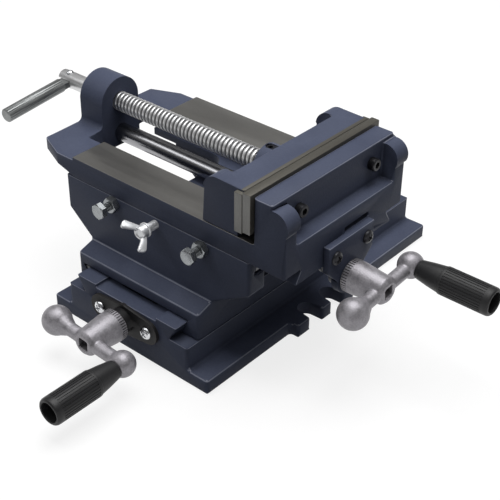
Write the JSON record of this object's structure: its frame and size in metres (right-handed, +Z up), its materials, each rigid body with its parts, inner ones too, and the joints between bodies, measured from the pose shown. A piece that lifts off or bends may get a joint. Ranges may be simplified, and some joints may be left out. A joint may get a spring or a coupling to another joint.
{
  "type": "cross slide vise",
  "caption": "Drill-press cross slide vise: dovetail base, saddle and body slide at right angles by ball cranks; screw-driven jaw, ground ways, slotted hold-down lugs.",
  "frame": {"origin": "centre of the base casting's underside, on the table", "axes": "+X along the jaws' travel, towards the fixed jaw and the upper crank; +Y along the base, away from the lower crank; +Z up"},
  "size_m": [0.3477, 0.342, 0.145],
  "materials": {
    "blue_grey_paint": "semi-gloss",
    "black_paint": "semi-gloss",
    "ground_steel": "ground",
    "zinc_plate": "bright",
    "black_oxide": "black oxide",
    "bright_steel": "turned",
    "bronze": "machined",
    "cast_aluminium": "as cast",
    "grip_plastic": "fluted"
  },
  "bodies": {
    "base": {"base_casting": "blue_grey_paint", "lower_bearing_plate": "black_paint", "lower_plate_screws": "zinc_plate"},
    "saddle": {"saddle_casting": "blue_grey_paint", "lower_gib": "ground_steel", "lower_gib_bolts": "zinc_plate", "lower_gib_locknuts": "zinc_plate", "upper_gib": "ground_steel", "upper_gib_bolts": "zinc_plate", "upper_gib_locknuts": "zinc_plate", "lower_feed_nut": "bronze", "lower_nut_screws": "black_oxide", "upper_feed_nut": "bronze", "upper_nut_screws": "black_oxide"},
    "vise": {"vise_body": "blue_grey_paint", "fixed_jaw_plate": "ground_steel", "fixed_jaw_screws": "black_oxide", "upper_bearing_plate": "blue_grey_paint", "upper_plate_screws": "black_oxide"},
    "jaw": {"movable_jaw": "blue_grey_paint", "movable_jaw_plate": "ground_steel", "movable_jaw_screws": "black_oxide", "guide_rod": "bright_steel", "keeper_strips": "ground_steel", "keeper_screws": "black_oxide", "clamp_retaining_screw": "black_oxide"},
    "clamp": {"clamp_screw": "bright_steel", "clamp_handle_rivet": "bright_steel"},
    "handle": {"clamp_handle": "bright_steel"},
    "upper_drive": {"upper_feed_screw": "bright_steel", "upper_crank": "cast_aluminium", "upper_crank_setscrew": "black_oxide", "upper_grip_spindle": "bright_steel"},
    "upper_handgrip": {"upper_grip": "grip_plastic"},
    "lower_drive": {"lower_feed_screw": "bright_steel", "lower_crank": "cast_aluminium", "lower_crank_setscrew": "black_oxide", "lower_grip_spindle": "bright_steel"},
    "lower_handgrip": {"lower_grip": "grip_plastic"},
    "lock": {"wing_bolt": "zinc_plate"}
  },
  "joints": [
    {"name": "lower_crank_turn", "type": "hinge", "parent": "base", "child": "lower_drive", "pos_m": [0, -0.124, 0.025], "axis": [0, -1, 0], "range_deg": [-2401, 12001]},
    {"name": "saddle_slide", "type": "slide", "parent": "base", "child": "saddle", "axis": [0, 1, 0], "range_m": [-0.02, 0.1]},
    {"name": "lower_grip_spin", "type": "hinge", "parent": "lower_drive", "child": "lower_handgrip", "pos_m": [0.03094, -0.18, 0.02311], "axis": [0, -1, 0], "continuous": true},
    {"name": "upper_crank_turn", "type": "hinge", "parent": "vise", "child": "upper_drive", "pos_m": [0.1132, -0.04, 0.071], "axis": [1, 0, 0], "range_deg": [-4801, 8401]},
    {"name": "body_slide", "type": "slide", "parent": "saddle", "child": "vise", "axis": [1, 0, 0], "range_m": [-0.04, 0.07]},
    {"name": "upper_grip_spin", "type": "hinge", "parent": "upper_drive", "child": "upper_handgrip", "pos_m": [0.17, -0.00908, 0.07316], "axis": [1, 0, 0], "continuous": true},
    {"name": "clamp_turn", "type": "hinge", "parent": "jaw", "child": "clamp", "pos_m": [0, -0.04, 0.1245], "axis": [-1, 0, 0], "range_deg": [-1, 12896.52]},
    {"name": "jaw_slide", "type": "slide", "parent": "vise", "child": "jaw", "axis": [-1, 0, 0], "range_m": [0, 0.12]},
    {"name": "handle_fold", "type": "hinge", "parent": "clamp", "child": "handle", "pos_m": [-0.136, -0.04, 0.1245], "axis": [0, 0.1045, -0.9945], "range_deg": [0, 180]},
    {"name": "wing_bolt_turn", "type": "hinge", "parent": "saddle", "child": "lock", "pos_m": [0.0075, -0.1005, 0.09025], "axis": [0, -1, 0], "range_deg": [0, 360]}
  ],
  "couplings": [
    {"joint": "lower_crank_turn", "follows": "saddle_slide", "rad_per_m": 2094.4},
    {"joint": "upper_crank_turn", "follows": "body_slide", "rad_per_m": 2094.4},
    {"joint": "clamp_turn", "follows": "jaw_slide", "rad_per_m": 1875.6}
  ]
}
